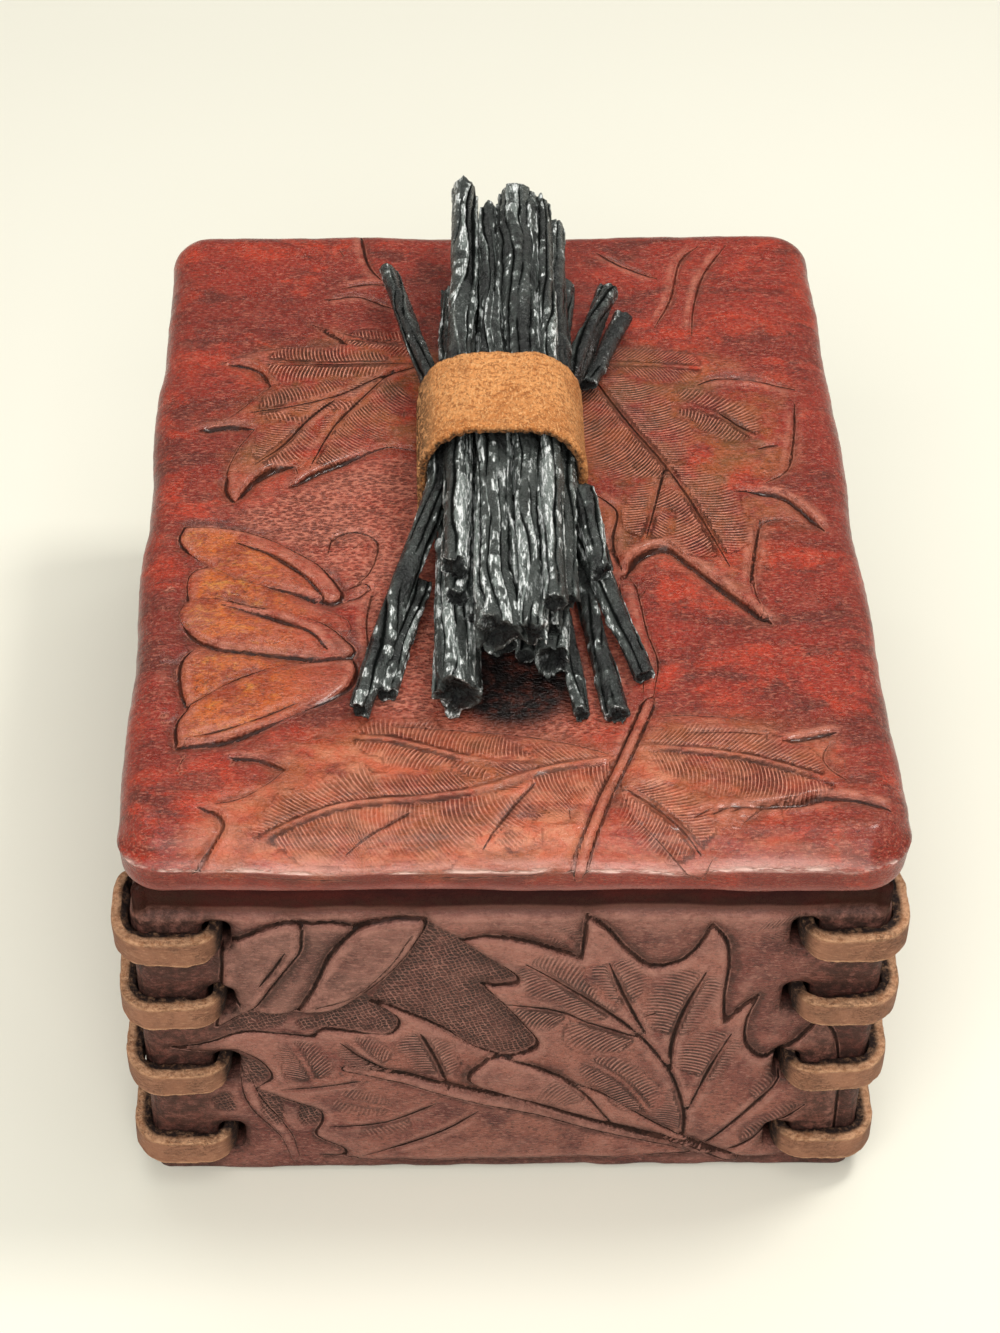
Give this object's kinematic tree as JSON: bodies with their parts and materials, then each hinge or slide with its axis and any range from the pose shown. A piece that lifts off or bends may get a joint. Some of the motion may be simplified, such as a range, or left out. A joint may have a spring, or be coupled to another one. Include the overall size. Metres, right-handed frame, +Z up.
{
  "type": "trinket box",
  "caption": "Rectangular trinket box with leaf-carved panels laced together at the corners, and a lift-off lid whose handle is a bound bundle of dark sticks.",
  "frame": {"origin": "centre of the footprint, on the surface that the box stands on", "axes": "+Z up, -Y out of the front face, +Y along the length of the lid and of the stick bundle, +X to the viewer's right"},
  "size_m": [0.1238, 0.1624, 0.1027],
  "materials": {
    "resin_wall": "mauve brown, carved, satin",
    "resin_lid": "red with dark antiquing, carved, satin gloss",
    "resin_inside": "plain brown",
    "lace": "rough cut tan strip",
    "suede": "napped tan suede",
    "charred_wood": "black, dry-brushed grey on the ridges",
    "steel": "plain pin"
  },
  "bodies": {
    "box": {"base_panel": "resin_inside", "front_wall": "resin_wall", "back_wall": "resin_wall", "left_wall": "resin_wall", "right_wall": "resin_wall", "lace_front_left_1": "lace", "lace_front_left_2": "lace", "lace_front_left_3": "lace", "lace_front_left_4": "lace", "lace_front_right_1": "lace", "lace_front_right_2": "lace", "lace_front_right_3": "lace", "lace_front_right_4": "lace", "lace_back_left_1": "lace", "lace_back_left_2": "lace", "lace_back_left_3": "lace", "lace_back_left_4": "lace", "lace_back_right_1": "lace", "lace_back_right_2": "lace", "lace_back_right_3": "lace", "lace_back_right_4": "lace"},
    "lid": {"lid_panel": "resin_lid", "lid_rim_front": "resin_inside", "lid_rim_back": "resin_inside", "lid_rim_left": "resin_inside", "lid_rim_right": "resin_inside", "handle_pins": "steel", "suede_band": "suede", "stick_bottom_left": "charred_wood", "stick_bottom_2": "charred_wood", "stick_bottom_3": "charred_wood", "stick_bottom_4": "charred_wood", "stick_bottom_right": "charred_wood", "stick_mid_1": "charred_wood", "stick_mid_2": "charred_wood", "stick_mid_3": "charred_wood", "stick_mid_4": "charred_wood", "stick_mid_5": "charred_wood", "stick_top_left": "charred_wood", "stick_top_butt_front": "charred_wood", "stick_top_butt_back": "charred_wood", "stick_top_right": "charred_wood", "stick_side_right": "charred_wood", "twig_front_left_long": "charred_wood", "twig_front_left_short": "charred_wood", "twig_front_right_long": "charred_wood", "twig_front_right_outer": "charred_wood", "twig_front_right_stub": "charred_wood", "twig_front_right_thin": "charred_wood", "twig_back_left": "charred_wood", "twig_back_right_thick": "charred_wood", "twig_back_right_fork": "charred_wood", "twig_back_right_stub": "charred_wood"}
  },
  "joints": [
    {"name": "lid_lift", "type": "slide", "parent": "box", "child": "lid", "axis": [0, 0, 1], "range_m": [0, 0.1]}
  ]
}
